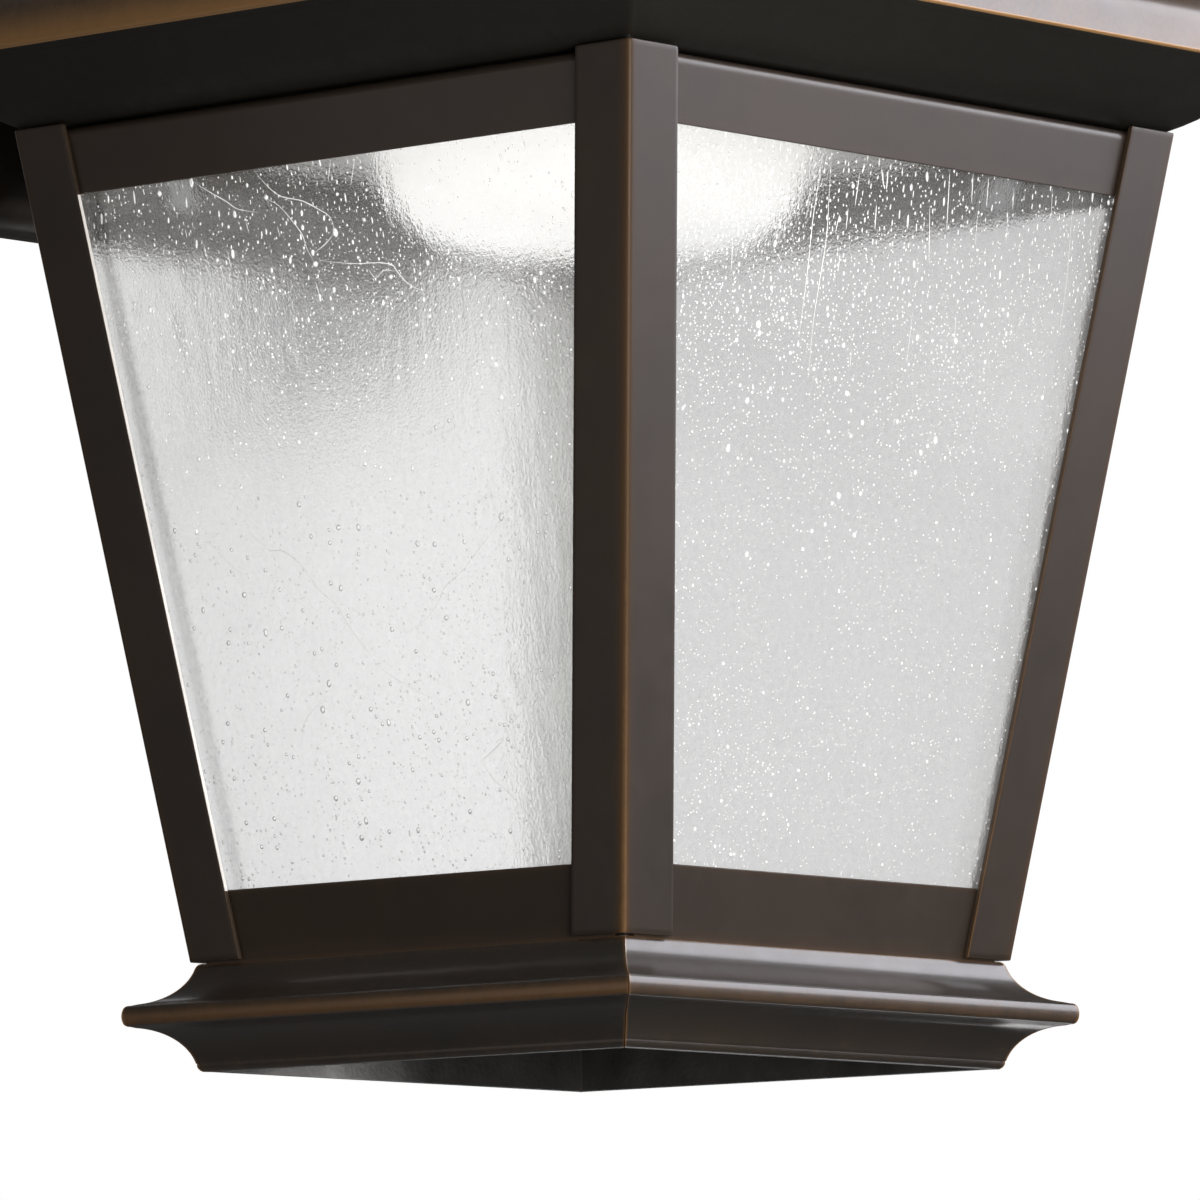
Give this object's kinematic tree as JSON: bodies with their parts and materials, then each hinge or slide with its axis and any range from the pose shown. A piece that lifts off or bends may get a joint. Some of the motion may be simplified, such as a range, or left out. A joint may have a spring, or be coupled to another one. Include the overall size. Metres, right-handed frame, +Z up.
{
  "type": "outdoor wall light",
  "caption": "Outdoor wall lantern with a leaning glazed cage, swept roof, moulded base and arm on a wall plate; built-in light under an opal bowl.",
  "frame": {"origin": "centre of the wall plate's rear, on the wall plane", "axes": "+Z up, +Y into the wall, -Y away from the wall, +X to the right of a person who faces the wall"},
  "size_m": [0.245, 0.2725, 0.4471],
  "materials": {
    "bronze": "satin dark bronze, rubbed to copper along edges",
    "bronze_cast": "semi-gloss dark bronze, rubbed to copper along edges",
    "seeded_glass": "clear with seeds and striae",
    "zinc_steel": "zinc plated",
    "brass": "plain",
    "black_rubber": "matte",
    "white_enamel": "satin white",
    "bare_aluminium": "extruded",
    "board_white": "solder mask",
    "chip_yellow": "phosphor",
    "opal": "opal, satin",
    "driver_case": "moulded",
    "lead_red": "insulation",
    "lead_sheath": "sheath",
    "ground_green": "green",
    "terminal_cream": "moulded"
  },
  "bodies": {
    "lantern": {"corner_post_front_left": "bronze", "corner_post_front_right": "bronze", "corner_post_back_left": "bronze", "corner_post_back_right": "bronze", "top_rail_front": "bronze", "top_rail_right": "bronze", "top_rail_back": "bronze", "top_rail_left": "bronze", "bottom_rail_front": "bronze", "bottom_rail_right": "bronze", "bottom_rail_back": "bronze", "bottom_rail_left": "bronze", "glass_front": "seeded_glass", "glass_right": "seeded_glass", "glass_back": "seeded_glass", "glass_left": "seeded_glass", "glass_clips": "zinc_steel", "top_gussets": "bronze", "bottom_gussets": "bronze", "base_moulding_front": "bronze_cast", "base_moulding_right": "bronze_cast", "base_moulding_back": "bronze_cast", "base_moulding_left": "bronze_cast", "base_pan": "bronze_cast", "base_screws": "zinc_steel", "roof_shell": "bronze_cast", "roof_soffit": "bronze", "roof_screws": "zinc_steel", "roof_cap": "bronze_cast", "roof_seal": "black_rubber", "stem_pipe": "brass", "stem_washer": "zinc_steel", "stem_nut": "zinc_steel", "ceiling_tray": "white_enamel", "heat_sink": "bare_aluminium", "led_board": "board_white", "led_chips": "chip_yellow", "board_screws": "zinc_steel", "opal_bowl": "opal", "bowl_ring": "white_enamel", "led_driver": "driver_case", "driver_screws": "zinc_steel", "led_leads": "lead_red", "arm_tube": "bronze", "arm_plug": "zinc_steel", "arm_boss": "bronze_cast", "boss_screws": "zinc_steel", "supply_lead": "lead_sheath", "wall_plate": "bronze", "plate_seal": "black_rubber", "crossbar": "zinc_steel", "plate_studs": "zinc_steel", "stud_nuts": "zinc_steel", "ground_screw": "ground_green", "terminal_block": "terminal_cream", "terminal_screws": "zinc_steel"},
    "left_nut": {"cap_nut_left": "bronze_cast"},
    "right_nut": {"cap_nut_right": "bronze_cast"}
  },
  "joints": [
    {"name": "left_nut_turn", "type": "hinge", "parent": "lantern", "child": "left_nut", "pos_m": [-0.06, -0.02, 0], "axis": [0, -1, 0], "continuous": true},
    {"name": "right_nut_turn", "type": "hinge", "parent": "lantern", "child": "right_nut", "pos_m": [0.06, -0.02, 0], "axis": [0, -1, 0], "continuous": true}
  ]
}
